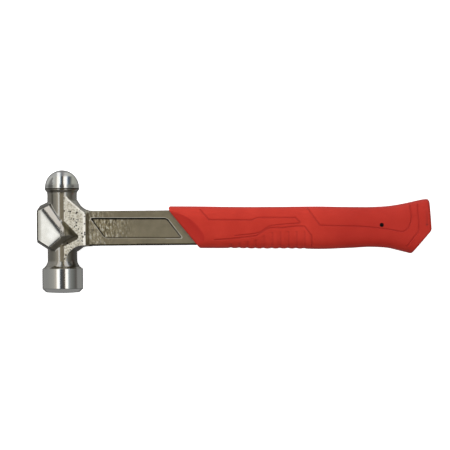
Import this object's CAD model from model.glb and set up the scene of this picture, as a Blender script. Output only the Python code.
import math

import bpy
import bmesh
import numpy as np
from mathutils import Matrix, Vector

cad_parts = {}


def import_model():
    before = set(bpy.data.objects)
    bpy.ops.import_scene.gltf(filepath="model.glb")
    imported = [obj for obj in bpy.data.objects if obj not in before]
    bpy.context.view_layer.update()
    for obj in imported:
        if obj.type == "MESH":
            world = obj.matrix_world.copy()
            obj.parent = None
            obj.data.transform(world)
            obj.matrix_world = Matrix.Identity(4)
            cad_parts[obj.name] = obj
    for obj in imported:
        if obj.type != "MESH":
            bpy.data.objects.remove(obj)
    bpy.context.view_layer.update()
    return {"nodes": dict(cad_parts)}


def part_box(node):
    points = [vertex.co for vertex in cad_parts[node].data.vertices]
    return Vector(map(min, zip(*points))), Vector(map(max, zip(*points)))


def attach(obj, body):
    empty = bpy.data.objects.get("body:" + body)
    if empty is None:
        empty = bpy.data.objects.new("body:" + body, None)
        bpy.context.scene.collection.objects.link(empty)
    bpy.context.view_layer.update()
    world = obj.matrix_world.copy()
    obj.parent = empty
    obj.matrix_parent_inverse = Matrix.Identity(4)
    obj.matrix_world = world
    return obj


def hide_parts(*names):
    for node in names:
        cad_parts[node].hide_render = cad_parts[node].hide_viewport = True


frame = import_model()

# A forged ball peen hammer with a moulded grip, lying on its side on a pale floor.
#
# The forging and the grip's sleeve are made from fields: a function gives, for points in
# millimetres in the hammer's own axes, a value that is negative inside the piece and
# grows like a distance outside it. A net of four-sided faces is laid over the zero
# surface, made finer where it bends or carries detail, and settled onto it. The core,
# of which only a dot shows, is the CAD's own mesh.
# In those axes x runs along the handle from the head's axis, y to the ball, z is the
# thickness from the middle plane.

MM = 0.001

# ---------------------------------------------------------------- dimensions, in mm

BALL_R, BALL_Y, BALL_EDGE_Y = 13.4, 31.3, 29.2
BALL_GROUND_Y, BALL_STEP = 30.9, 0.1  # the ball is ground bright above this line
COLLAR_R, COLLAR_Y = 4.2, 25.8
NECK_R = 11.5
FLARE_Y, FLARE_FILLET = -25.0, 8.0
FACE_R, FACE_TOP_Y, FACE_BEVEL_Y, FACE_Y = 15.9, -32.3, -47.7, -51.1
FACE_CROWN = 150.0
BEVEL_ROUND, CROWN_ROUND = 0.3, 0.5
NECK_OVERLAP, FACE_OVERLAP = 1.0, 2.0  # how far the neck runs into the ball and the face
BOSS_END_X = -19.66
CHEEK_HALF, CHEEK_END_X = 11.3, 18.4
CHEEK_EDGE = 2.4  # width of the bright bevel along the cheek's end
SHANK_HALF, SHANK_ROUND = 5.8, 0.8
SHANK_TOP, SHANK_BOTTOM, SHANK_END_X = 12.7, -14.5, 110.0
UPPER_FILLET, LOWER_FILLET = 12.6, 9.5
PANEL = [(22.6, 6.8), (33.2, -8.1), (92.9, -8.7), (81.5, 6.3)]
PANEL_DEPTH, PANEL_CORNER = 1.2, 1.3
PANEL_DEEP = (4, 7)  # between these distances from the middle plane lie the panel and its rim
TANG_HALF, TANG_Y, TANG_X, TANG_HEIGHT = 3.5, -1.3, (100.0, 258.0), (8.5, 6.5)
KEY_HOLES, KEY_HOLE_R = (133.0, 176.0, 219.0), 3.5

GRIP_END_X = 287.9
GRIP_FRONT, GRIP_START_X = ((80.3, 16.1), (107.2, -17.1)), 82.9
CORE_X, CORE_WALL, CORE_HALF = (113.0, 270.0), 2.8, 8.2
CLEARANCE = 0.3
HOLE, HOLE_R = (249.0, -0.1), 1.4

# For each net: the corners of the box that it is laid in, its pitch, and the bends in degrees
# over which it is made finer, level by level.
FORGING_NET = ((-21, -53, 0), (260, 47, 18), 0.8, (8, 7))
GRIP_NET = ((80, -24, 0), (290, 24, 16), 0.9, (9, 9))

body_low, body_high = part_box("forged_body")
ORIGIN = Vector((
    body_low.x - BOSS_END_X * MM,
    body_high.y - (BALL_Y + BALL_R) * MM,
    (body_low.z + body_high.z) / 2,
))

# ------------------------------------------------------------------- field helpers


def union(*fields):
    return np.minimum.reduce(fields)


def cut(*fields):
    return np.maximum.reduce(fields)


def round_cut(a, b, radius):
    """The common part of a and b, its edge rounded off."""
    u = np.maximum(radius + a, 0)
    v = np.maximum(radius + b, 0)
    return np.minimum(-radius, np.maximum(a, b)) + np.hypot(u, v)


def round_union(a, b, radius):
    """a and b together, the corner between them filled with a fillet."""
    u = np.maximum(radius - a, 0)
    v = np.maximum(radius - b, 0)
    return np.maximum(radius, np.minimum(a, b)) - np.hypot(u, v)


def soft_cut(a, b, width):
    """The common part of a and b where they meet at a blunt edge, which is rolled over."""
    near = np.maximum(1 - np.abs(a - b) / width, 0)
    return np.maximum(a, b) + near**2 * width / 4


def round_cut_all(fields, radius):
    whole = fields[0]
    for other in fields[1:]:
        whole = round_cut(whole, other, radius)
    return whole


def step(value, low, high):
    """0 below low, 1 above high, smooth between."""
    t = np.clip((value - low) / (high - low), 0, 1)
    return t * t * (3 - 2 * t)


def fade(value, low, high):
    """1 below low, 0 above high, smooth between."""
    return step(-value, -high, -low)


def close(distance, full, gone):
    """1 where distance is within full of 0, 0 where it is further than gone."""
    return fade(np.abs(distance), full, gone)


def strongest(*shares):
    return np.maximum.reduce(shares)


def beyond(x, y, a, b):
    """Distance of (x, y) to the right of the line from a to b."""
    dx, dy = b[0] - a[0], b[1] - a[1]
    return ((x - a[0]) * dy - (y - a[1]) * dx) / math.hypot(dx, dy)


def rounded_polygon(x, y, corners, radius):
    """Field of a convex polygon whose corners run anticlockwise and are rounded off."""
    edges = zip(corners, corners[1:] + corners[:1])
    return round_cut_all([beyond(x, y, a, b) for a, b in edges], radius)


def sloping(distance, height, top, spread, drop):
    """A wall that starts at distance 0 and height top, and runs out by spread for each drop."""
    return (distance * drop + (height - top) * spread) / math.hypot(drop, spread)


def near_line(x, y, points):
    """Distance to a line through points."""
    best = None
    for (ax, ay), (bx, by) in zip(points, points[1:]):
        dx, dy = bx - ax, by - ay
        t = np.clip(((x - ax) * dx + (y - ay) * dy) / (dx * dx + dy * dy), 0, 1)
        d = np.hypot(x - ax - t * dx, y - ay - t * dy)
        best = d if best is None else np.minimum(best, d)
    return best


def bowed(points, turns=6):
    """Points on a smooth curve through points."""
    p = [np.array(q, float) for q in points]
    p = [2 * p[0] - p[1]] + p + [2 * p[-1] - p[-2]]
    curve = []
    for a, b, c, d in zip(p, p[1:], p[2:], p[3:]):
        for t in np.arange(turns) / turns:
            q = 2 * b + (c - a) * t + (2 * a - 5 * b + 4 * c - d) * t**2
            curve.append((q + (3 * b - a - 3 * c + d) * t**3) / 2)
    return [tuple(q) for q in curve] + [tuple(p[-2])]


# Large numbers that scramble a cell's place and the seed into a random-looking value.
CELL_HASH, MIX_HASH, SEED_HASH = (73856093, 19349663, 83492791), 1274126177, 668265263


def spread_noise(x, y, z, size, seed):
    """Smooth random values from -1 to 1 whose bumps are about size across."""
    p = [np.asarray(v, float) / size + 31.7 * seed for v in (x, y, z)]
    cell = [np.floor(v).astype(np.int64) for v in p]
    ease = [(v - c) ** 2 * (3 - 2 * (v - c)) for v, c in zip(p, cell)]
    total = 0.0
    for corner in range(8):
        bits = [corner >> axis & 1 for axis in range(3)]
        mixed = sum((c + b) * k for c, b, k in zip(cell, bits, CELL_HASH))
        mixed = (mixed ^ (mixed >> 13)) * MIX_HASH + seed * SEED_HASH
        value = ((mixed ^ (mixed >> 16)) & 65535) / 32767.5 - 1
        weight = 1.0
        for b, e in zip(bits, ease):
            weight = weight * (e if b else 1 - e)
        total = total + value * weight
    return total


# ----------------------------------------------------------------- nets over fields


def lay_net(field, low, high, pitch):
    """Points and four-sided faces of a net over field = 0, which is alike above and below z = 0."""
    xs = np.arange(low[0], high[0] + pitch, pitch)
    ys = np.arange(low[1], high[1] + pitch, pitch)
    half = np.arange(0, high[2] + pitch, pitch)
    upper = field(*np.meshgrid(xs, ys, half, indexing="ij"))
    values = np.concatenate([upper[:, :, :0:-1], upper], axis=2)
    start = np.array([xs[0], ys[0], -half[-1]])
    inside = values < 0

    def shifted(array, corner):
        return array[tuple(slice(c, n - 1 + c) for c, n in zip(corner, array.shape))]

    corners = [(a, b, c) for a in (0, 1) for b in (0, 1) for c in (0, 1)]
    count = sum(shifted(inside, corner).astype(np.int8) for corner in corners)
    cells = np.argwhere((count > 0) & (count < 8))
    number = np.full(count.shape, -1, np.int32)
    number[tuple(cells.T)] = np.arange(len(cells))

    total = np.zeros((len(cells), 3))
    hits = np.zeros(len(cells))
    for a in corners:
        for axis in range(3):
            if a[axis]:
                continue
            b = tuple(1 if i == axis else v for i, v in enumerate(a))
            va = values[tuple((cells + a).T)]
            vb = values[tuple((cells + b).T)]
            crossed = (va < 0) != (vb < 0)
            t = np.where(crossed, va / np.where(crossed, va - vb, 1), 0)
            point = np.array(a) + t[:, None] * (np.array(b) - np.array(a))
            total += np.where(crossed[:, None], point, 0)
            hits += crossed
    points = start + pitch * (cells + total / hits[:, None])

    faces = []
    for axis in range(3):
        u, v = (axis + 1) % 3, (axis + 2) % 3
        ahead = [slice(None)] * 3
        behind = [slice(None)] * 3
        ahead[axis], behind[axis] = slice(1, None), slice(None, -1)
        for leaving in (True, False):
            here, there = inside[tuple(behind)], inside[tuple(ahead)]
            edges = np.argwhere((here & ~there) if leaving else (~here & there))
            ring = []
            for du, dv in ((1, 1), (0, 1), (0, 0), (1, 0)):
                cell = edges.copy()
                cell[:, u] -= du
                cell[:, v] -= dv
                ring.append(number[tuple(cell.T)])
            quads = np.stack(ring, axis=1)
            faces.append(quads if leaving else quads[:, ::-1])
    return points, np.concatenate(faces)


def slope_of(field, points, reach=0.02):
    slope = np.empty_like(points)
    for axis in range(3):
        shift = np.zeros(3)
        shift[axis] = reach
        slope[:, axis] = field(*(points + shift).T) - field(*(points - shift).T)
    return slope / (2 * reach)


def directions(field, points):
    """The way out of the surface at each point, 1 long."""
    slope = slope_of(field, points)
    return slope / np.maximum(np.linalg.norm(slope, axis=1), 1e-6)[:, None]


def settle(field, points, furthest, rounds=3):
    """Moves points onto field = 0, along its slope."""
    for _ in range(rounds):
        slope = slope_of(field, points)
        way = field(*points.T) / np.maximum((slope**2).sum(axis=1), 0.1)
        points = points - np.clip(way, -furthest, furthest)[:, None] * slope
    return points


def make_finer(mesh, field, pitch, bend, detail):
    """Halves the edges over which the surface turns by more than bend, and those in detail."""
    points = positions(mesh)
    out = directions(field, points)
    ends = np.empty(len(mesh.edges) * 2, np.int32)
    mesh.edges.foreach_get("vertices", ends)
    a, b = ends.reshape(-1, 2).T
    turned = (out[a] * out[b]).sum(axis=1) < math.cos(bend)
    wanted = detail(*points.T) > 0
    long = np.linalg.norm(points[a] - points[b], axis=1) > 0.55 * pitch
    chosen = (turned | wanted[a] | wanted[b]) & long
    bm = bmesh.new()
    bm.from_mesh(mesh)
    bm.edges.ensure_lookup_table()
    picked = [bm.edges[i] for i in np.flatnonzero(chosen)]
    bmesh.ops.subdivide_edges(bm, edges=picked, cuts=1, use_grid_fill=True)
    bm.to_mesh(mesh)
    bm.free()
    place(mesh, settle(field, positions(mesh), pitch / 4))


def positions(mesh):
    flat = np.empty(len(mesh.vertices) * 3)
    mesh.vertices.foreach_get("co", flat)
    return flat.reshape(-1, 3)


def place(mesh, points):
    mesh.vertices.foreach_set("co", points.ravel())


def mesh_of(name, field, net, detail):
    """A mesh in mm over field = 0, from a net as described with the dimensions."""
    low, high, pitch, bends = net
    points, faces = lay_net(field, low, high, pitch)
    mesh = bpy.data.meshes.new(name)
    mesh.from_pydata(settle(field, points, pitch / 2), [], faces.tolist())
    for bend in bends:
        make_finer(mesh, field, pitch, math.radians(bend), detail)
        pitch /= 2
    return mesh


def finished(mesh, node):
    """Puts a mesh made in mm in its place in the frame, as the piece that stands for node."""
    place(mesh, positions(mesh) * MM + np.array(ORIGIN))
    mesh.validate()
    mesh.update()
    mesh.shade_smooth()
    piece = bpy.data.objects.new(mesh.name, mesh)
    bpy.context.scene.collection.objects.link(piece)
    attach(piece, "root")
    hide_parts(node)
    return piece


def put_marks(mesh, marks):
    """Keeps each mark's share at each point on the mesh, where the materials read it."""
    for name, share in marks.items():
        layer = mesh.attributes.new(name, "FLOAT", "POINT")
        layer.data.foreach_set("value", np.asarray(share, np.float32))


# ------------------------------------------------------------------ the forged body


def turned_head(x, y, z):
    r = np.hypot(x, z)
    neck = cut(r - NECK_R, y - BALL_EDGE_Y - NECK_OVERLAP, FACE_TOP_Y - FACE_OVERLAP - y)
    fillet = FLARE_FILLET - np.hypot(r - NECK_R - FLARE_FILLET, y - FLARE_Y)
    flare = cut(r - FACE_R, y - FLARE_Y, FACE_TOP_Y - FACE_OVERLAP - y, fillet)
    bevel = (r - FACE_R - y + FACE_BEVEL_Y) / math.sqrt(2)
    crown = np.hypot(r, y - FACE_Y - FACE_CROWN) - FACE_CROWN
    wall = round_cut(r - FACE_R, bevel, BEVEL_ROUND)
    face = round_cut(cut(wall, y - FACE_TOP_Y), crown, CROWN_ROUND)
    hollow = COLLAR_R - np.hypot(r - NECK_R - COLLAR_R, y - COLLAR_Y)
    collar = cut(r - BALL_R, y - BALL_EDGE_Y, COLLAR_Y - y, hollow)
    ground = BALL_STEP * step(y, BALL_GROUND_Y - 0.1, BALL_GROUND_Y + 0.1)
    ball = cut(np.hypot(r, y - BALL_Y) - BALL_R + ground, BALL_EDGE_Y - y)
    return union(neck, flare, face, collar, ball)


# The boss is a roof. Its ridge runs from the upper left down to the hip. The plateau slopes
# away to the left, a narrow strip to the right, and the hip runs out into the pointer.
PLATEAU = [(-15.1, 14.7), (-18.9, 12.9), (-19.1, -9.4), (-10.0, -15.3), (1.2, -6.2)]
HIP = (1.2, -6.2, 15.2)
PLATEAU_SLOPE = 0.176
STRIP_NORMAL = (0.21, 0.306, 1.0)
STRIP_EDGE = [(-7.3, 13.6), (0.3, 2.5)]
POINTER_FOOT = [(2.4, 2.9), (9.4, -4.5), (10.8, -8.1), (4.7, -11.2)]
POINTER_END = ((10.2, -9.6), (11.7, -4.1))
BOSS_CORNER, BOSS_RIGHT_X = ((-17.8, 16.3), (BOSS_END_X, 13.3)), 2.5
# How far the boss's walls run out, for how much drop: on top, at the lower left, at the end.
TOP_WALL, SLANT_WALL, END_BEVEL = (3.1, 12.3), (1.6, 10), (0.7, 0.8)
ROOF_ROLL, LOW_ROLL, POINTER_ROLL, BOSS_ROUND = (0.65, 0.5), 0.8, 0.6, 0.3


def plane_at(point, normal):
    """A plane as a field that is negative below it."""
    normal = np.array(normal) / np.linalg.norm(normal)
    return lambda x, y, z: sum(n * (v - p) for n, v, p in zip(normal, (x, y, z), point))


def plane_over(a, b, c):
    """The plane through three points."""
    normal = np.cross(np.subtract(b, a), np.subtract(c, a))
    return plane_at(a, normal * np.sign(normal[2]))


def on_strip(x, y):
    return (x, y, HIP[2] - STRIP_NORMAL[0] * (x - HIP[0]) - STRIP_NORMAL[1] * (y - HIP[1]))


def on_plateau(x, y):
    return (x, y, HIP[2] + PLATEAU_SLOPE * (x - HIP[0]))


def on_cheek(corner):
    return (*POINTER_FOOT[corner], CHEEK_HALF)


plateau_plane = plane_at(HIP, (-PLATEAU_SLOPE, 0, 1))
strip_plane = plane_at(HIP, STRIP_NORMAL)
wall_plane = plane_over(on_strip(*STRIP_EDGE[0]), on_strip(*STRIP_EDGE[1]), (-1.7, 7.3, 10.7))
low_plane = plane_over(HIP, on_plateau(*PLATEAU[3]), (-1.4, -14.1, CHEEK_HALF))
pointer_wall = plane_over(on_cheek(0), on_cheek(1), on_strip(3.9, -2.3))
pointer_low = plane_over(HIP, on_cheek(2), on_cheek(3))


def along_ridge(x, y):
    """0 at the ridge's upper left end, 1 at the hip."""
    start, end = np.array(PLATEAU[0]), np.array(PLATEAU[4])
    way = end - start
    return np.clip(((x - start[0]) * way[0] + (y - start[1]) * way[1]) / (way @ way), 0, 1)


def boss(x, y, z):
    """The block under the roof, and the pointer that runs from the hip down to the cheek."""
    corner, left_top, left_low, low = PLATEAU[:4]
    roll = ROOF_ROLL[0] + ROOF_ROLL[1] * along_ridge(x, y)
    roof = soft_cut(plateau_plane(x, y, z), strip_plane(x, y, z), roll)
    block = soft_cut(roof, low_plane(x, y, z), LOW_ROLL)
    top = beyond(x, y, corner, left_top)
    slant = beyond(x, y, left_low, low)
    end = BOSS_END_X - x
    block = round_cut_all([
        block,
        wall_plane(x, y, z),
        sloping(top, z, on_plateau(*corner)[2], *TOP_WALL),
        sloping(slant, z, on_plateau(*low)[2], *SLANT_WALL),
        end,
        sloping(end + END_BEVEL[0], z, on_plateau(BOSS_END_X, 0)[2], *END_BEVEL),
        beyond(x, y, *BOSS_CORNER),
        x - BOSS_RIGHT_X,
    ], BOSS_ROUND)
    pointer = soft_cut(strip_plane(x, y, z), pointer_low(x, y, z), POINTER_ROLL)
    pointer = round_cut_all([
        pointer,
        pointer_wall(x, y, z),
        low_plane(x, y, z),
        beyond(x, y, *POINTER_END),
        -1 - x,
    ], BOSS_ROUND)
    return block, cut(pointer, 5 - z)


CHEEK_RIDGE = [(15.6, 12.9), (4.7, 22.5), (2.1, 27.5)]
CHEEK_SIDE, CHEEK_SHELF_Y, CHEEK_HOLLOW = ((2.2, -27.0), (4.1, -19.0)), -14.0, 10.4
CHEEK_Y = (-27.0, 25.2)
CHEEK_DRAFT = 0.36  # how far the cheek's sides run out for each mm of drop


def cheek_outline(x, y):
    """The cheek's flat: two straight ridges above, a hollow curve below."""
    start, bend, end = CHEEK_RIDGE
    upper = union(beyond(x, y, start, bend), beyond(x, y, bend, end))
    lower = round_union(beyond(x, y, *CHEEK_SIDE), CHEEK_SHELF_Y - y, CHEEK_HOLLOW)
    return cut(upper, lower, CHEEK_Y[0] - y, y - CHEEK_Y[1], -2 - x)


def silhouette(x, y):
    """The neck's outline with its fillets to the shank."""
    upper = round_union(x - NECK_R, y - SHANK_TOP, UPPER_FILLET)
    lower = round_union(x - NECK_R, SHANK_BOTTOM - y, LOWER_FILLET)
    return cut(upper, lower, np.abs(y) - 27, -2 - x)


def cheeks(x, y, z):
    outline = cheek_outline(x, y)
    sides = outline - CHEEK_DRAFT * np.maximum(CHEEK_HALF - z, 0)
    side_edge = sloping(outline + 1.2, z, CHEEK_HALF, 1.2, 0.3)
    end = sloping(x - CHEEK_END_X, z, CHEEK_HALF - 0.6, 2.6, CHEEK_HALF - SHANK_HALF)
    end_edge = sloping(x - CHEEK_END_X + CHEEK_EDGE, z, CHEEK_HALF, CHEEK_EDGE, 0.6)
    body = round_cut(sides, z - CHEEK_HALF, 0.25)
    body = round_cut(body, side_edge, 0.2)
    body = round_cut(body, end, 0.3)
    body = round_cut(body, end_edge, 0.2)
    return round_cut(body, silhouette(x, y), 1.2)


def panel_edge(x, y):
    """Distance to the edge of the sunk panel, negative over the panel."""
    return rounded_polygon(x, y, PANEL, PANEL_CORNER)


def shank(x, y, z):
    outline = cut(y - SHANK_TOP, SHANK_BOTTOM - y)
    bar = round_cut(outline, z - SHANK_HALF, SHANK_ROUND)
    bar = cut(bar, x - SHANK_END_X, -x)
    pocket_wall = panel_edge(x, y) + 0.25 * (SHANK_HALF - z)
    pocket = round_cut(pocket_wall, SHANK_HALF - PANEL_DEPTH - z, 0.25)
    return round_cut(bar, -pocket, 0.15)


def tang_outline(x, y, grow=0.0):
    share = (x - TANG_X[0]) / (TANG_X[1] - TANG_X[0])
    half = TANG_HEIGHT[0] + (TANG_HEIGHT[1] - TANG_HEIGHT[0]) * share + grow
    return round_cut(np.abs(y - TANG_Y) - half, x - TANG_X[1] - grow, 4.0)


def tang(x, y, z):
    bar = cut(tang_outline(x, y), z - TANG_HALF, TANG_X[0] - x)
    holes = union(*[np.hypot(x - hole_x, y - TANG_Y) - KEY_HOLE_R for hole_x in KEY_HOLES])
    return cut(bar, -holes)


POINTER_FILLET, BLOCK_FILLET, HANDLE_FILLET = 0.9, 0.5, 1.3
HEAD_END_X = 24.0  # the head's fields are only worked out up to here


def whole_head(x, y, z):
    block, pointer = boss(x, y, z)
    head = union(turned_head(x, y, z), cheeks(x, y, z))
    head = round_union(head, pointer, POINTER_FILLET)
    return round_union(head, block, BLOCK_FILLET)


def forging(x, y, z):
    z = np.abs(z)
    handle = union(shank(x, y, z), tang(x, y, z))
    near = x < HEAD_END_X
    head = whole_head(x[near], y[near], z[near])
    joined = handle.copy()
    joined[near] = round_union(head, handle[near], HANDLE_FILLET)
    return joined


def forging_detail(x, y, z):
    """Above 0 where the forging is made finer whether it bends or not."""
    deep = np.abs(z)
    rim = np.abs(np.hypot(x, z) - BALL_R)
    ball_edge = 0.8 - np.hypot(rim, y - BALL_GROUND_Y)
    cheek = cut(x - 19, 0.5 - x, 10.5 - deep)
    rough = cut(x - 58, 19 - x, PANEL_DEEP[0] - deep)
    panel = cut(np.abs(panel_edge(x, y)) - 1.3, PANEL_DEEP[0] - deep, deep - 7.5)
    return strongest(ball_edge, -cheek, -rough, -panel)


# Marks say where the forging is ground, bright, scaled or dark, from 0 to 1. deep is how far
# a point is from the middle plane, so both sides of the hammer are marked alike.

STRIP_END = ((1.5, 0.7), (0.8, -4.8))  # the strip is ground up to here, and scaled beyond
SHADE_LOW_Y = -31  # the neck's shadows end above the striking face
HIP_SPOT, SLANT_SPOT = (0.2, -5.6), (-8.2, -17.6)  # shaded spots at two corners of the plateau


def on_ground_strip(x, y):
    return step(beyond(x, y, *STRIP_END), -0.2, 0.2)


def ground_marks(x, y, deep):
    """The ball and the face, then the boss's plateau, then its narrow strip."""
    on_ball = step(y, BALL_GROUND_Y - 0.05, BALL_GROUND_Y + 0.15)
    on_face = fade(y, FACE_TOP_Y - 0.15, FACE_TOP_Y + 0.15)
    polished = np.maximum(on_ball, on_face) * (np.abs(x) < 20)
    on_boss = (x < 3) * (deep > 9)
    plateau = on_boss * close(plateau_plane(x, y, deep), 0.3, 0.5)
    plateau = plateau * fade(low_plane(x, y, deep), -0.25, -0.05)
    strip = on_boss * close(strip_plane(x, y, deep), 0.3, 0.5)
    strip = strip * fade(wall_plane(x, y, deep), -0.3, -0.1) * on_ground_strip(x, y)
    return polished, plateau, strip


def cheek_marks(x, y, deep):
    """The cheek's sandy flat, and the bright edge along its end and its upper ridge."""
    outline = cheek_outline(x, y)
    flat = step(deep, CHEEK_HALF - 0.6, CHEEK_HALF - 0.45) * (deep < CHEEK_HALF + 0.15)
    flat = flat * step(x, 1.2, 1.7) * (x < CHEEK_END_X + 0.1)
    flat = flat * (y > -30) * fade(y, 23, 25) * fade(outline, 0, 0.3)
    ridge = close(outline + 0.7, 0.4, 0.7) * (y > 10)
    bevel_x = CHEEK_END_X - CHEEK_EDGE
    bevel = step(x, bevel_x - 0.1, bevel_x + 0.3)
    return flat, flat * np.maximum(bevel, ridge)


def parting_mark(x, y, deep):
    """The pale line down the middle of the neck, where the dies met."""
    line = step(x, -2.0, -1.5) * fade(x, 1.1, 1.5)
    return line * (np.abs(y) < 28) * (deep < NECK_R + 0.1)


def rough_mark(x, y):
    """The dies' rough skin beside the head. It reaches furthest on the panel's floor."""
    in_panel = fade(panel_edge(x, y), -0.3, 0.3)
    beside = in_panel * fade(x, 32, 62) + (1 - in_panel) * 0.75 * fade(x, 22, 46)
    return beside * step(x, 18, 22)


def scale_marks(x, y, deep):
    """The scale on the pointer's sides and tip, and how much of it is in shadow."""
    raised = deep > CHEEK_HALF
    wall = close(pointer_wall(x, y, deep) - 0.1, 0.35, 0.75) * step(x, -0.5, 0.5) * (x < 12.5)
    wall = wall * step(deep, CHEEK_HALF - 0.6, CHEEK_HALF + 0.1) * (np.abs(y + 3) < 9)
    under_boss = close(low_plane(x, y, deep), 0.2, 0.5) * (x < 5)
    under_tip = close(pointer_low(x, y, deep), 0.2, 0.5) * (x > 1) * (x < 12)
    under = np.maximum(under_boss, under_tip) * raised
    low_wall = np.maximum(low_plane(x, y, deep), pointer_low(x, y, deep))
    foot = close(low_wall - 0.4, 0.4, 0.75) * step(x, -0.5, 1.0) * (x < 12)
    foot = foot * step(deep, CHEEK_HALF - 0.4, CHEEK_HALF) * (deep < CHEEK_HALF + 1.2)
    foot = foot * (np.abs(y + 10) < 6)
    tip = close(strip_plane(x, y, deep), 0.3, 0.5) * (1 - on_ground_strip(x, y))
    tip = tip * (x > 0) * (x < 12) * (deep > CHEEK_HALF + 0.1) * (pointer_wall(x, y, deep) < 0.1)
    scale = strongest(wall, 0.3 * under, 0.85 * tip, 0.9 * foot)
    dim = np.maximum(wall, tip) * (0.15 + 0.45 * step(x, 4.0, 6.5))
    return scale, np.maximum(dim, 0.5 * foot)


def dusk_mark(x, y):
    """Where the plateau is duller: at its end, along the ridge and along its lower edge."""
    at_end = 0.64 * fade(x, -17.4, -15.6)
    by_ridge = 0.5 * close(beyond(x, y, PLATEAU[0], PLATEAU[4]), 0.5, 4.0)
    low_edge = -beyond(x, y, PLATEAU[3], PLATEAU[4])
    by_low_edge = fade(low_edge, 0.3, 3.8) * (0.2 + 0.4 * step(x, -9, -3))
    return strongest(at_end, by_ridge, by_low_edge)


def boss_shade(x, y, deep):
    """Dark edges and hollows round the boss."""
    raised = deep > CHEEK_HALF
    slant = beyond(x, y, PLATEAU[2], PLATEAU[3])
    by_slant = fade(x, -9.4, -8.2) * step(slant, -0.1, 0.2) * fade(slant, 1.2, 2.4)
    by_slant = by_slant * (np.abs(y + 14) < 6) * step(deep, 7.5, 9.5)
    on_roof = (np.abs(plateau_plane(x, y, deep)) < 0.8) * (x < 1.5) * raised
    ridge = close(beyond(x, y, PLATEAU[0], PLATEAU[4]), 0.3, 1.1) * on_roof
    hip = close(np.hypot(x - HIP_SPOT[0], y - HIP_SPOT[1]), 1.0, 2.4) * raised
    corner = close(np.hypot(x - SLANT_SPOT[0], y - SLANT_SPOT[1]), 0.6, 2.4) * (deep < 11.5)
    end_edge = (x < BOSS_END_X + 0.8) * (np.abs(y) < 20) * step(deep, 9.8, 10.6)
    top_edge = step(beyond(x, y, PLATEAU[0], PLATEAU[1]), -0.1, 0.2) * (x < -7) * (y > 12)
    top_edge = top_edge * step(deep, 7, 9)
    return strongest(by_slant, 0.4 * ridge, 0.65 * hip, 0.6 * corner, 0.8 * end_edge, 0.6 * top_edge)


def neck_shade(x, y, cheek):
    """The face neck's shadow on the right, below the cheek, and a faint one on the left."""
    right = step(x, 3.5, 5.5) * fade(x, 14, 17) * fade(y, -13.6, -12.6) * (1 - cheek)
    right = right * (0.25 + 0.4 * step(x, 6, 9))
    left = fade(x, -8, -4) * fade(y, -18, -16)
    return np.maximum(right, 0.24 * left) * (y > SHADE_LOW_Y)


def shank_shade(x, y, deep):
    """The shank's rounded edges, the lower one darkest."""
    rounded = step(deep, SHANK_HALF - 1.4, SHANK_HALF - 0.8) * (deep < SHANK_HALF + 0.1)
    rounded = rounded * (x > 17) * (x < SHANK_END_X + 2)
    rounded = rounded * (y > SHANK_BOTTOM - 0.5) * (y < SHANK_TOP + 0.5)
    return rounded * np.maximum(fade(y, -13.5, -13.1), 0.4 * step(y, 12.0, 12.3))


def collar_shade(x, y):
    """The dark groove below the ball."""
    sunk = 0.3 * step(y, 28.9, 29.3) + 0.6 * step(y, 29.9, 30.2)
    return sunk * fade(y, 30.7, 30.85) * (np.abs(x) < 16)


def panel_marks(x, y, deep):
    """The dark line along the panel's edge, and the bright rim outside it."""
    edge = panel_edge(x, y)
    there = (deep > PANEL_DEEP[0]) * (deep < PANEL_DEEP[1])
    on_top = step(y, 4.0, 5.5)
    line = close(edge + 0.1, 0.25 + 0.2 * on_top, 0.6 + 0.25 * on_top) * there
    line = line * (1 - 0.3 * fade(y, -7.5, -5.5))
    rim = close(edge - 0.75, 0.15, 0.4) * there * (x > 20) * (x < 100)
    return line, rim * np.maximum(0.4 + 0.6 * on_top, step(x, 78, 82))


def rough_skin(x, y, z, cheek, rough, forged):
    """How far the dies' rough skin stands out, in mm."""
    grain = spread_noise(x, y, z, 1.5, 5) + 0.5 * spread_noise(x, y, z, 0.8, 6)
    waves = spread_noise(x + 0.5 * y, y * 0.45, z, 0.9, 8) + 0.6 * spread_noise(x, y, z, 0.65, 9)
    wide = spread_noise(x, y, z, 9, 11)
    waves = waves * (np.abs(z) > PANEL_DEEP[0])
    return 0.07 * cheek * grain + 0.17 * rough * waves + 0.03 * forged * wide


def forged_body():
    mesh = mesh_of("forged_steel_body", forging, FORGING_NET, forging_detail)
    points = positions(mesh)
    x, y, z = points.T
    deep = np.abs(z)
    polished, plateau, strip = ground_marks(x, y, deep)
    cheek, edge = cheek_marks(x, y, deep)
    scale, scale_shade = scale_marks(x, y, deep)
    panel_line, panel_rim = panel_marks(x, y, deep)
    rough = rough_mark(x, y)

    rise = rough_skin(x, y, z, cheek, rough, (1 - polished) * (1 - plateau))
    place(mesh, points + rise[:, None] * directions(forging, points))

    put_marks(mesh, {
        "scale": scale,
        "shade": strongest(panel_line, scale_shade, boss_shade(x, y, deep), neck_shade(x, y, cheek),
                           shank_shade(x, y, deep), collar_shade(x, y)),
        "edge": np.maximum(edge, 0.5 * panel_rim),
        "parting": parting_mark(x, y, deep),
        "head": fade(x, 17, 19),
        "polished": polished,
        "plateau": plateau,
        "dusk": dusk_mark(x, y) * plateau,
        "strip": strip,
        "cheek": cheek,
        "rough": rough,
    })
    return finished(mesh, "forged_body")


# ---------------------------------------------------------------------- the grip

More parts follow.
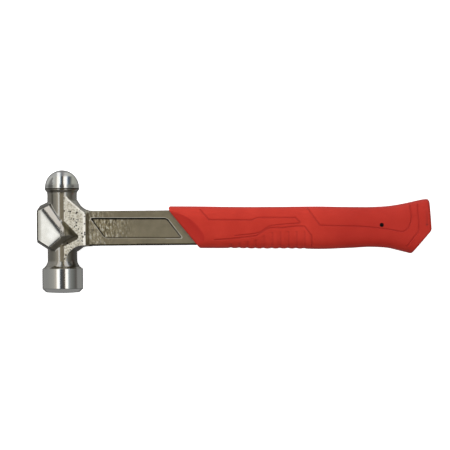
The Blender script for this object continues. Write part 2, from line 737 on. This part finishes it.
TOP_EDGE = [(76, 15.95), (105, 15.6), (124, 15.15), (143, 14.85), (170, 14.7), (198, 14.75),
            (217, 14.3), (236, 14.0), (245, 14.15), (254.5, 14.7), (264, 16.1), (273, 17.95),
            (281, 19.6), (290, 20.2)]
LOW_EDGE = [(76, -16.4), (114, -17.05), (133, -17.2), (152, -17.7), (180, -17.95), (198, -18.45),
            (208, -18.42), (217, -18.05), (226.5, -17.75), (236, -17.2), (245, -17.3),
            (254.5, -18.2), (264, -20.55), (273, -22.9), (290, -27.5)]
SIDE = [(76, 11), (106, 12.2), (152, 11.6), (204, 12.8), (242, 11.8), (270, 13.7), (290, 14.1)]
top_curve, low_curve, side_curve = [np.array(bowed(c, 24)).T for c in (TOP_EDGE, LOW_EDGE, SIDE)]
SQUARENESS = 2.9
FRONT_HALF, FRONT_SLOPE = 8.85, 0.36
BUTT_END, BUTT_SLANT = ((GRIP_END_X, -4.4), (286.4, 20.2)), ((272.0, -22.9), (GRIP_END_X, -4.6))
BEVEL_EDGE, FRONT_ROUND, START_ROUND, END_ROUND, SLANT_ROUND = 0.25, 0.7, 1.6, 2.2, 1.2
RIB_X, RIB_PITCH, RIB_COUNT, RIB_DEPTH = 128.1, 6.35, 11, 0.33

# Lines that are sunk in the grip's sides.
GROOVE_HALF, GROOVE_DEPTH = 0.75, 0.32
BADGE = (
    [(107.8, 12.8), (114.5, 5.1)]
    + bowed([(147.2, 4.5), (152.7, 6.3), (156.1, 6.4)])
    + [(181.8, 6.1), (185.6, 2.6), (185.2, 1.8)]
    + bowed([(170.5, 0.8), (163.3, 0.0), (159.7, -1.5), (151.7, -5.7), (134.6, -7.7)])
)
RIB_ZONE = (
    bowed([(118.9, -10.8), (134.6, -9.6), (150.3, -7.9), (152.5, -6.8), (161.5, -2.0), (171.4, -1.6)])
    + [(181.7, -0.6), (188.9, -0.7), (194.2, -7.6), (194.5, -16.1)]
)
PALM = (
    [(191.2, 13.6), (201.0, -0.1), (217.0, -0.6), (232.8, -1.2), (244.8, -2.3)]
    + bowed([(256.7, -4.0), (264.3, -5.5), (267.0, -4.8), (269.3, -3.0), (271.3, 1.2),
             (272.1, 6.0), (271.7, 10.3), (271.0, 14.8)])
)
BUTT = (
    bowed([(277.2, 15.5), (277.3, 9.6), (277.9, 2.5), (277.9, -4.4)])
    + [(276.8, -6.5), (272.1, -12.4), (268.6, -16.9)]
)

# Where the finger ribs end above, and the small moulding mark near the butt.
RIB_TOPS = [(118.9, -14), (134.6, -13.1), (151.9, -10.3), (161.5, -4.6), (188.9, -3.8), (194.2, -9.6)]
MOULD_DOT = (284.2, 0.1)


def grip_shape(x):
    """The grip's height above, its height below and its half thickness at x."""
    return [np.interp(x, *curve) for curve in (top_curve, low_curve, side_curve)]


def grip_outside(x, y, z):
    top, low, side = grip_shape(x)
    half = (top - low) / 2
    v = np.abs(y - (top + low) / 2) / half
    w = np.abs(z) / side
    round_part = ((v**SQUARENESS + w**SQUARENESS) ** (1 / SQUARENESS) - 1) * np.minimum(half, side)
    front = beyond(x, y, *GRIP_FRONT)
    bevel = (z - FRONT_HALF - FRONT_SLOPE * -front) / math.hypot(1, FRONT_SLOPE)
    body = round_cut(round_part, bevel, BEVEL_EDGE)
    body = round_cut(body, front, FRONT_ROUND)
    body = round_cut(body, cut(GRIP_START_X - x, y - 30), START_ROUND)
    body = round_cut(body, beyond(x, y, *BUTT_END), END_ROUND)
    return round_cut(body, beyond(x, y, *BUTT_SLANT), SLANT_ROUND)


def groove(distance, half=GROOVE_HALF):
    """The section of a sunk line, 1 in its middle."""
    return np.maximum(1 - (distance / half) ** 2, 0) ** 1.5


def off_sunk_lines(x, y):
    """Distance to the nearest sunk line."""
    return np.minimum.reduce([near_line(x, y, line) for line in (BADGE, RIB_ZONE, PALM, BUTT)])


def rib_valleys(x, y):
    """1 in the valleys between the finger ribs, 0 on their crests."""
    valley = 0.5 - 0.5 * np.cos(2 * math.pi * (x - RIB_X) / RIB_PITCH)
    last_x = RIB_X + RIB_PITCH * (RIB_COUNT - 1)
    in_row = step(x, RIB_X - 1.5, RIB_X + 1) * fade(x, last_x, last_x + 2.5)
    zone_top = np.interp(x, *zip(*RIB_TOPS))
    return valley**2 * in_row * step(zone_top - y, 0, 1.2)


def grip_cavity(x, y, z):
    """What the sleeve leaves free: room for the forging and the core, and the locating hole."""
    grow = CLEARANCE
    bar = cut(y - SHANK_TOP - grow, SHANK_BOTTOM - y - grow,
              z - SHANK_HALF - grow, x - SHANK_END_X - grow)
    link = cut(tang_outline(x, y, grow), z - TANG_HALF - grow, TANG_X[0] - x)
    share = (x - CORE_X[0]) / (CORE_X[1] - CORE_X[0])
    half = TANG_HEIGHT[0] + (TANG_HEIGHT[1] - TANG_HEIGHT[0]) * share + CORE_WALL + grow
    core = cut(np.abs(y - TANG_Y) - half, CORE_X[0] - grow - x, x - CORE_X[1] - grow,
               z - CORE_HALF - grow)
    hole = cut(from_hole(x, y) - HOLE_R, CORE_HALF - z)
    return union(bar, link, core), hole


def from_hole(x, y):
    return np.hypot(x - HOLE[0], y - HOLE[1])


def grip(x, y, z):
    z = np.abs(z)
    side = grip_shape(x)[2]
    facing = step(z / side, 0.25, 0.6)
    carved = GROOVE_DEPTH * groove(off_sunk_lines(x, y)) * facing + RIB_DEPTH * rib_valleys(x, y)
    skin = grip_outside(x, y, z) + carved
    cavity, hole = grip_cavity(x, y, z)
    return round_cut(cut(skin, -cavity), -hole, 0.25)


def grip_detail(x, y, z):
    """Above 0 where the grip is made finer whether it bends or not."""
    lines = 1.1 - off_sunk_lines(x, y)
    outside = grip_outside(x, y, np.abs(z)) + 1.6
    hole = 2.4 - from_hole(x, y)
    return np.minimum(np.maximum(lines, hole), outside)


def bevel_mark(x, y, deep):
    """The front bevel, fainter beside the grip's front edge."""
    front = beyond(x, y, *GRIP_FRONT)
    on_bevel = close(FRONT_HALF - FRONT_SLOPE * front - deep, 0.05, 0.25)
    return on_bevel * (0.6 + 0.4 * fade(front, -8, -2))


def rib_mark(x, y):
    """A dark line in each valley between the finger ribs, towards the butt."""
    phase = (x - RIB_X) / RIB_PITCH - 0.12
    return fade(np.abs(np.cos(math.pi * phase)), 0.0, 0.55) * (rib_valleys(x, y) > 0.02)


def rim_mark(x, y, deep):
    """Where the grip's skin turns away from the side that shows."""
    out = directions(grip_outside, np.stack([x, y, deep], axis=1))
    return fade(np.abs(out[:, 2]), 0.2, 0.4) * (x > 84)


def mould_mark(x, y, deep):
    """The dot of the moulding mark, and the faint line above it."""
    right, up = x - MOULD_DOT[0], y - MOULD_DOT[1]
    line = close(right, 0.4, 1.4) * step(y, -1.5, 0.5) * fade(y, 6, 15)
    dot = fade(np.hypot(right, up), 0.5, 0.9)
    return np.maximum(0.2 * line, 0.8 * dot) * (deep > 8)


def grip_sleeve():
    mesh = mesh_of("soft_grip_sleeve", grip, GRIP_NET, grip_detail)
    x, y, z = positions(mesh).T
    deep = np.abs(z)
    put_marks(mesh, {
        "groove": groove(off_sunk_lines(x, y), 1.0) * step(deep, 3, 6),
        "bevel": bevel_mark(x, y, deep),
        "rib": rib_mark(x, y),
        "rim": rim_mark(x, y, deep),
        "rear": step(x, 186, 226),
        "mould": mould_mark(x, y, deep),
        "hole": fade(from_hole(x, y), HOLE_R + 0.1, HOLE_R + 0.4),
    })
    return finished(mesh, "grip_sleeve")


# -------------------------------------------------------------------- materials


class Nodes:
    """Short ways to build the node tree of a material or of the world."""

    def __init__(self, owner, shader, space):
        owner.use_nodes = True
        self.owner = owner
        self.tree = owner.node_tree
        self.shader = self.tree.nodes[shader]
        self.where = self.node("ShaderNodeTexCoord").outputs[space]

    def node(self, kind, **settings):
        node = self.tree.nodes.new(kind)
        for key, value in settings.items():
            setattr(node, key, value)
        return node

    def link(self, source, target):
        if isinstance(source, (int, float, tuple)):
            target.default_value = source
        else:
            self.tree.links.new(source, target)

    def mark(self, name):
        return self.node("ShaderNodeAttribute", attribute_name=name).outputs["Fac"]

    def noise(self, scale, detail=4.0, rough=0.55, stretch=(1, 1, 1)):
        """Smooth noise from 0 to 1, with about scale bumps to the metre."""
        mapping = self.node("ShaderNodeMapping")
        mapping.inputs["Scale"].default_value = stretch
        self.link(self.where, mapping.inputs["Vector"])
        texture = self.node("ShaderNodeTexNoise")
        self.link(mapping.outputs["Vector"], texture.inputs["Vector"])
        texture.inputs["Scale"].default_value = scale
        texture.inputs["Detail"].default_value = detail
        texture.inputs["Roughness"].default_value = rough
        return texture.outputs["Fac"]

    def pits(self, scale, inner, outer, share):
        """Round spots, one to a cell, 1 in their middle. They fade out where share is 0."""
        texture = self.node("ShaderNodeTexVoronoi")
        self.link(self.where, texture.inputs["Vector"])
        texture.inputs["Scale"].default_value = scale
        spots = self.range(texture.outputs["Distance"], outer, inner)
        return self.math("MULTIPLY", spots, share)

    def mix(self, share, a, b, kind="RGBA"):
        """The colour a where share is 0, and b where it is 1."""
        node = self.node("ShaderNodeMix", data_type=kind)
        self.link(share, node.inputs["Factor"])
        self.link(a, node.inputs["A"])
        self.link(b, node.inputs["B"])
        return node.outputs["Result"]

    def blend(self, share, a, b):
        """The number a where share is 0, and b where it is 1."""
        return self.mix(share, a, b, "FLOAT")

    def range(self, value, low, high, to_low=0.0, to_high=1.0):
        """to_low where value is low, to_high where it is high, and even between."""
        node = self.node("ShaderNodeMapRange")
        self.link(value, node.inputs["Value"])
        node.inputs["From Min"].default_value = low
        node.inputs["From Max"].default_value = high
        node.inputs["To Min"].default_value = to_low
        node.inputs["To Max"].default_value = to_high
        return node.outputs["Result"]

    def math(self, operation, a, b=0.0):
        node = self.node("ShaderNodeMath", operation=operation)
        self.link(a, node.inputs[0])
        self.link(b, node.inputs[1])
        return node.outputs["Value"]

    def ramp(self, value, stops):
        """A colour that changes with value, through stops of (value, red, green, blue)."""
        node = self.node("ShaderNodeValToRGB")
        first, last = stops[0][0], stops[-1][0]
        self.link(self.range(value, first, last), node.inputs["Fac"])
        marks = node.color_ramp.elements
        while len(marks) < len(stops):
            marks.new(1.0)
        for spot, stop in zip(marks, stops):
            spot.position = (stop[0] - first) / (last - first)
            spot.color = (*stop[1:], 1)
        return node.outputs["Color"]

    def bump(self, height, distance):
        node = self.node("ShaderNodeBump")
        node.inputs["Strength"].default_value = 1.0
        node.inputs["Distance"].default_value = distance
        self.link(height, node.inputs["Height"])
        self.link(node.outputs["Normal"], self.shader.inputs["Normal"])


def material_nodes(name):
    return Nodes(bpy.data.materials.new(name), "Principled BSDF", "Object")


def rgb(red, green, blue):
    """A colour as seen on a screen, 0 to 255, as linear light."""
    def linear(value):
        value /= 255
        return value / 12.92 if value <= 0.04045 else ((value + 0.055) / 1.055) ** 2.4
    return (linear(red), linear(green), linear(blue), 1.0)


def coated_colour(n, rough, mottle):
    """The coated forging: darker at the head, pale at the parting, streaked where rough."""
    tone = n.range(mottle, 0.35, 0.7)
    shank = n.mix(tone, rgb(147, 136, 108), rgb(160, 149, 121))
    head = n.mix(tone, rgb(102, 95, 75), rgb(114, 106, 86))
    streaks = n.noise(620, 3, 0.6, (1.4, 0.5, 1))
    dark_streaks = n.math("MULTIPLY", rough, n.range(streaks, 0.5, 0.38))
    bright_streaks = n.math("MULTIPLY", rough, n.range(streaks, 0.53, 0.65))
    coated = n.mix(n.mark("head"), shank, head)
    coated = n.mix(n.mark("parting"), coated, rgb(140, 131, 112))
    coated = n.mix(dark_streaks, coated, rgb(96, 89, 71))
    return n.mix(bright_streaks, coated, rgb(214, 209, 194))


def steel_colour(n, marks, mottle, fine, specks):
    sandy = n.mix(n.range(fine, 0.38, 0.55), rgb(200, 192, 172), rgb(244, 240, 228))
    cloud = n.range(n.noise(90, 3), 0.35, 0.65)
    plateau = n.mix(cloud, rgb(190, 188, 181), rgb(205, 204, 199))
    plateau = n.mix(n.mark("dusk"), plateau, rgb(120, 117, 108))
    colour = coated_colour(n, marks["rough"], mottle)
    for share, over in (
        (marks["cheek"], sandy),
        (marks["edge"], rgb(250, 246, 236)),
        (marks["scale"], rgb(112, 104, 82)),
        (specks, rgb(52, 46, 38)),
        (marks["strip"], rgb(180, 176, 169)),
        (marks["plateau"], plateau),
        (marks["polished"], rgb(205, 205, 202)),
        (marks["shade"], rgb(34, 30, 24)),
    ):
        colour = n.mix(share, colour, over)
    return colour


def steel_gloss(n, marks, mottle, hairlines):
    gloss = n.range(mottle, 0.3, 0.7, 0.42, 0.52)
    for name, over in (
        ("cheek", 0.6),
        ("edge", 0.4),
        ("strip", 0.28),
        ("plateau", n.range(hairlines, 0.3, 0.7, 0.17, 0.24)),
        ("polished", n.range(hairlines, 0.3, 0.7, 0.09, 0.15)),
    ):
        gloss = n.blend(marks[name], gloss, over)
    return gloss


def clear_coat(n, marks):
    """The coat lies on all of the forging that has no mark of its own."""
    bare = n.mark("parting")
    for share in marks.values():
        bare = n.math("MAXIMUM", bare, share)
    n.link(n.blend(bare, 1.0, 0.0), n.shader.inputs["Coat Weight"])
    n.shader.inputs["Coat Roughness"].default_value = 0.07
    n.shader.inputs["Coat IOR"].default_value = 2.9


def steel_material():
    n = material_nodes("forged_steel")
    names = ("polished", "plateau", "strip", "cheek", "scale", "rough", "shade", "edge")
    marks = {name: n.mark(name) for name in names}
    mottle = n.noise(160, 5)
    fine = n.noise(900, 3)
    hairlines = n.noise(900, 4, 0.6, (1, 8, 1))
    specks = n.pits(420, 0.22, 0.32, n.range(mottle, 0.42, 0.54))
    specks = n.math("MULTIPLY", marks["cheek"], specks)
    n.link(steel_colour(n, marks, mottle, fine, specks), n.shader.inputs["Base Color"])
    n.link(steel_gloss(n, marks, mottle, hairlines), n.shader.inputs["Roughness"])
    n.shader.inputs["Metallic"].default_value = 1.0
    clear_coat(n, marks)

    forged = n.math("SUBTRACT", n.math("ADD", mottle, n.math("MULTIPLY", fine, 0.4)), specks)
    forged = n.blend(marks["plateau"], forged, n.math("MULTIPLY", mottle, 0.3))
    height = n.blend(marks["polished"], forged, n.math("MULTIPLY", hairlines, 0.004))
    n.bump(height, 0.00018)
    return n.owner


def core_material():
    n = material_nodes("rigid_core")
    grain = n.noise(1500, 3)
    black = n.mix(n.range(grain, 0.3, 0.7), rgb(18, 18, 19), rgb(30, 30, 31))
    n.link(black, n.shader.inputs["Base Color"])
    n.link(n.range(grain, 0.3, 0.7, 0.5, 0.65), n.shader.inputs["Roughness"])
    n.bump(grain, 0.00008)
    return n.owner


def grip_material():
    n = material_nodes("soft_grip")
    cloud = n.noise(60, 4)
    grain = n.noise(2600, 3, 0.6)
    red = n.mix(n.range(cloud, 0.35, 0.65), rgb(191, 43, 27), rgb(201, 50, 34))
    for name, share, over in (
        ("rear", 0.5, rgb(168, 26, 14)),
        ("groove", 0.5, rgb(150, 18, 12)),
        ("bevel", 0.85, rgb(180, 28, 18)),
        ("rib", 0.35, rgb(150, 18, 12)),
        ("rim", 0.35, rgb(120, 14, 12)),
        ("mould", 1.0, rgb(96, 24, 24)),
        ("hole", 1.0, rgb(40, 8, 8)),
    ):
        red = n.mix(n.math("MULTIPLY", n.mark(name), share), red, over)
    n.link(red, n.shader.inputs["Base Color"])
    n.link(n.range(grain, 0.3, 0.7, 0.5, 0.62), n.shader.inputs["Roughness"])
    n.shader.inputs["Specular IOR Level"].default_value = 0.3
    n.bump(grain, 0.00006)
    return n.owner


def dress(piece, material):
    piece.data.materials.clear()
    piece.data.materials.append(material)


# -------------------------------------------------------- camera, floor and light

VIEW_CENTRE = (-7.2, 4.08)  # in mm in the frame, as are the width and the distance
VIEW_WIDTH, VIEW_DISTANCE = 351.0, 7000.0
VIEW_ROLL = math.radians(-0.48)

LIGHTS = {"key": ((-0.45, 1.2, 1.0), 8), "fill": ((0, -1.2, 1.0), 2.5)}  # places in m, watts
LIGHT_SIZE = (1.6, 0.8)
FLOOR_HALF = 80  # in m, so that its edge isn't seen from a low view


def camera():
    """Looks straight down from far away."""
    data = bpy.data.cameras.new("camera")
    data.sensor_width = 36
    data.lens = data.sensor_width * VIEW_DISTANCE / VIEW_WIDTH
    data.clip_end = 20
    obj = bpy.data.objects.new("camera", data)
    obj.location = (VIEW_CENTRE[0] * MM, VIEW_CENTRE[1] * MM, ORIGIN.z + VIEW_DISTANCE * MM)
    obj.rotation_euler = (0, 0, VIEW_ROLL)
    bpy.context.scene.collection.objects.link(obj)
    bpy.context.scene.camera = obj


def area_light(name, place_m, watts):
    """A soft light aimed at the hammer. It isn't mirrored: the steel mirrors the world."""
    data = bpy.data.lights.new(name, "AREA")
    data.shape = "RECTANGLE"
    data.size, data.size_y = LIGHT_SIZE
    data.energy = watts
    obj = bpy.data.objects.new(name, data)
    obj.location = place_m
    obj.rotation_euler = (-Vector(place_m)).to_track_quat("-Z", "Y").to_euler()
    obj.visible_glossy = False
    bpy.context.scene.collection.objects.link(obj)


# How bright the studio is round the head's axis, by the angle from straight up, negative to
# the left: a dark gap overhead where the camera looks in, a strip light on each side of it,
# and grey walls. SIDES is level with the head, BALL and CROWN are further towards +Y.
WALL = 0.36
SIDES = [
    (-180, WALL, WALL, WALL * 0.97), (-100, WALL, WALL, WALL * 0.97), (-82, 0.39, 0.39, 0.37),
    (-66, 0.43, 0.43, 0.40), (-53, 0.48, 0.48, 0.44), (-41, 0.66, 0.62, 0.56),
    (-35, 0.80, 0.74, 0.66), (-32.5, 1.6, 1.5, 1.35), (-30, 1.75, 1.75, 1.65),
    (-19, 1.75, 1.77, 1.8), (-15.5, 0.9, 0.95, 1.0), (-13, 0.12, 0.15, 0.17), (-8, 0.08, 0.09, 0.10),
    (0, 0.10, 0.10, 0.10), (9, 0.11, 0.10, 0.085), (13, 0.14, 0.12, 0.10), (15.5, 1.0, 0.9, 0.85),
    (18, 1.75, 1.7, 1.6), (30, 1.75, 1.75, 1.75), (33, 0.72, 0.78, 0.82), (38, 0.42, 0.47, 0.49),
    (45, 0.33, 0.33, 0.32), (58, 0.23, 0.24, 0.23), (71, 0.18, 0.18, 0.17), (80, 0.14, 0.13, 0.12),
    (86, 0.19, 0.18, 0.17), (95, 0.34, 0.34, 0.33), (180, WALL, WALL, WALL * 0.97),
]
BALL = [
    (-180, 0.55, 0.55, 0.54), (-60, 0.68, 0.68, 0.66), (-40, 0.64, 0.63, 0.59), (-35, 0.8, 0.74, 0.68),
    (-32, 1.6, 1.55, 1.45), (-12, 1.7, 1.75, 1.8), (-9.5, 0.6, 0.75, 0.9), (-7, 0.1, 0.15, 0.19),
    (-1, 0.09, 0.11, 0.13), (6, 0.12, 0.09, 0.06), (9.5, 0.3, 0.24, 0.18), (12.5, 1.6, 1.55, 1.45),
    (32, 1.7, 1.7, 1.75), (37, 0.8, 0.9, 1.05), (43, 0.14, 0.19, 0.25), (56, 0.12, 0.14, 0.16),
    (66, 0.3, 0.3, 0.28), (76, 0.55, 0.56, 0.5), (110, 0.5, 0.5, 0.46), (180, 0.42, 0.42, 0.42),
]
CROWN = [
    (-180, 0.42, 0.42, 0.42), (-60, 0.58, 0.58, 0.57), (-36, 0.66, 0.66, 0.66), (-30, 1.5, 1.5, 1.5),
    (-15, 1.5, 1.5, 1.55), (-9, 0.5, 0.55, 0.6), (0, 0.26, 0.26, 0.28), (8, 0.4, 0.38, 0.38),
    (20, 0.75, 0.75, 0.75), (60, 0.66, 0.67, 0.62), (100, 0.5, 0.5, 0.5), (180, 0.42, 0.42, 0.42),
]


def world():
    """The light from all round, as a smooth function of direction."""
    made = bpy.data.worlds.new("studio")
    bpy.context.scene.world = made
    n = Nodes(made, "Background", "Generated")
    parts = n.node("ShaderNodeSeparateXYZ")
    n.link(n.where, parts.inputs[0])
    x, y, z = parts.outputs

    # How far a mirror leans that shows this direction from straight above, along x and y.
    tall = n.math("SQRT", n.math("MULTIPLY", n.math("ADD", z, 1.0), 2.0))
    lean = n.math("DIVIDE", y, tall)
    around = n.math("MULTIPLY", n.math("ARCSINE", n.math("DIVIDE", x, tall)), 360 / math.pi)

    # Towards +Y come the ball's part, the crown's and a wall, towards -Y a dark gap and a wall.
    # It is dim from below.
    light = n.mix(n.range(lean, 0.1, 0.24), n.ramp(around, SIDES), n.ramp(around, BALL))
    light = n.mix(n.range(lean, 0.6, 0.7), light, n.ramp(around, CROWN))
    light = n.mix(n.range(lean, 0.84, 0.92), light, grey(WALL))
    light = n.mix(n.range(lean, -0.3, -0.42), light, grey(0.12))
    light = n.mix(n.range(lean, -0.57, -0.68), light, grey(WALL))
    light = n.mix(n.range(z, -0.7, -0.92), light, grey(0.16))
    n.link(light, n.shader.inputs["Color"])


def grey(level):
    return (level, level, level, 1)


def floor():
    """A plain white floor. It is a backdrop only: what the hammer mirrors is the studio."""
    mesh = bpy.data.meshes.new("floor")
    far = FLOOR_HALF
    corners = [(-far, -far, 0), (far, -far, 0), (far, far, 0), (-far, far, 0)]
    mesh.from_pydata(corners, [], [(0, 1, 2, 3)])
    piece = bpy.data.objects.new("floor", mesh)
    piece.visible_glossy = False
    piece.visible_diffuse = False
    bpy.context.scene.collection.objects.link(piece)
    n = material_nodes("floor")
    white = n.mix(n.noise(1), rgb(242, 242, 242), rgb(246, 246, 246))
    n.link(white, n.shader.inputs["Base Color"])
    n.shader.inputs["Roughness"].default_value = 0.9
    n.shader.inputs["Emission Color"].default_value = grey(1)
    n.shader.inputs["Emission Strength"].default_value = 0.8
    dress(piece, n.owner)


def studio():
    bpy.context.scene.view_settings.view_transform = "Standard"
    world()
    floor()
    for name, (place_m, watts) in LIGHTS.items():
        area_light(name, place_m, watts)


camera()
studio()
steel = steel_material()
dress(forged_body(), steel)
dress(grip_sleeve(), grip_material())
dress(frame["nodes"]["grip_core"], core_material())
